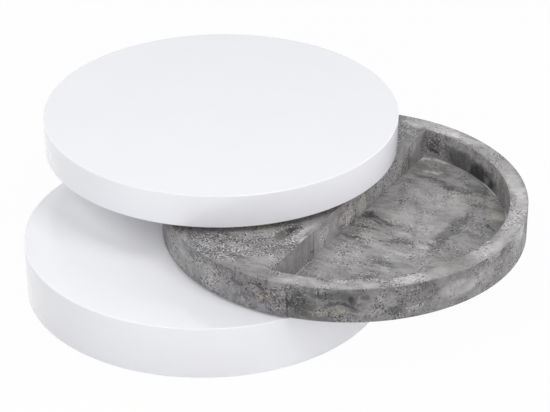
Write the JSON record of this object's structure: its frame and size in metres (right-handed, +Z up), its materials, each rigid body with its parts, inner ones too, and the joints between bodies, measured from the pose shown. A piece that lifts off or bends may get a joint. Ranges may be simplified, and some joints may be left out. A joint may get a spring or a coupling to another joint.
{
  "type": "swivel coffee table",
  "caption": "Low swivel coffee table of stacked round drums on an off-centre pivot; the middle drum is a tray with a D-shaped recess, and the discs fan out or close into one drum.",
  "frame": {"origin": "centre of the base disc at floor level, on the underside of its middle glide", "axes": "+Z up; +X from the pivot axle towards the tray disc's centre with the discs fanned out as stored, square to the recess's straight wall"},
  "size_m": [1.1497, 1.0232, 0.3],
  "materials": {
    "white_lacquer": "board with high-gloss white lacquer",
    "concrete_foil": "board with matt concrete-look foil",
    "white_backing": "board with satin white backing foil",
    "raw_board": "bare particle board",
    "nylon": "natural nylon",
    "white_plastic": "moulded white plastic",
    "glide_plastic": "moulded black plastic",
    "zinc_steel": "zinc plated",
    "race_steel": "pressed bearing steel, thin oil film",
    "axle_steel": "turned bright steel",
    "ball_steel": "polished balls",
    "insert_brass": "turned brass"
  },
  "bodies": {
    "base": {"base_top_panel": "white_lacquer", "base_rim_segments": "white_lacquer", "base_floor_panel": "white_backing", "base_ribs": "raw_board", "base_pivot_block": "raw_board", "base_bush_upper": "nylon", "base_bush_lower": "nylon", "access_cap": "white_plastic", "floor_glides": "glide_plastic", "glide_nails": "zinc_steel", "lower_race_bottom": "race_steel", "lower_race_bottom_screws": "zinc_steel"},
    "lower_cage": {"lower_cage": "nylon", "lower_balls": "ball_steel"},
    "tray": {"tray_floor_panel": "concrete_foil", "tray_recess_rim_segments": "concrete_foil", "tray_deck_rim_segments": "concrete_foil", "tray_deck": "concrete_foil", "tray_divider": "concrete_foil", "tray_ribs": "raw_board", "tray_pivot_block": "raw_board", "tray_bush_lower": "nylon", "tray_bush_upper": "nylon", "lower_race_top": "race_steel", "lower_race_top_screws": "zinc_steel", "upper_race_bottom": "race_steel", "upper_race_bottom_screws": "zinc_steel"},
    "upper_cage": {"upper_cage": "nylon", "upper_balls": "ball_steel"},
    "top": {"top_panel": "white_lacquer", "top_rim_segments": "white_lacquer", "top_floor_panel": "white_backing", "top_ribs": "raw_board", "top_pivot_block": "raw_board", "upper_race_top": "race_steel", "upper_race_top_screws": "zinc_steel", "pivot_axle": "axle_steel", "flange_bolts": "zinc_steel", "flange_inserts": "insert_brass", "axle_washer": "zinc_steel", "axle_nut": "zinc_steel"}
  },
  "joints": [
    {"name": "tray_swivel", "type": "hinge", "parent": "base", "child": "tray", "pos_m": [0.07607, 0.16314, 0.123], "axis": [0, 0, 1], "continuous": true},
    {"name": "top_swivel", "type": "hinge", "parent": "tray", "child": "top", "pos_m": [0.07607, 0.16314, 0.217], "axis": [0, 0, 1], "continuous": true},
    {"name": "lower_cage_turn", "type": "hinge", "parent": "base", "child": "lower_cage", "pos_m": [0.07607, 0.16314, 0.123], "axis": [0, 0, 1], "continuous": true},
    {"name": "upper_cage_turn", "type": "hinge", "parent": "tray", "child": "upper_cage", "pos_m": [0.07607, 0.16314, 0.217], "axis": [0, 0, 1], "continuous": true}
  ],
  "couplings": [
    {"joint": "lower_cage_turn", "follows": "tray_swivel", "ratio": 0.5},
    {"joint": "upper_cage_turn", "follows": "top_swivel", "ratio": 0.5}
  ]
}
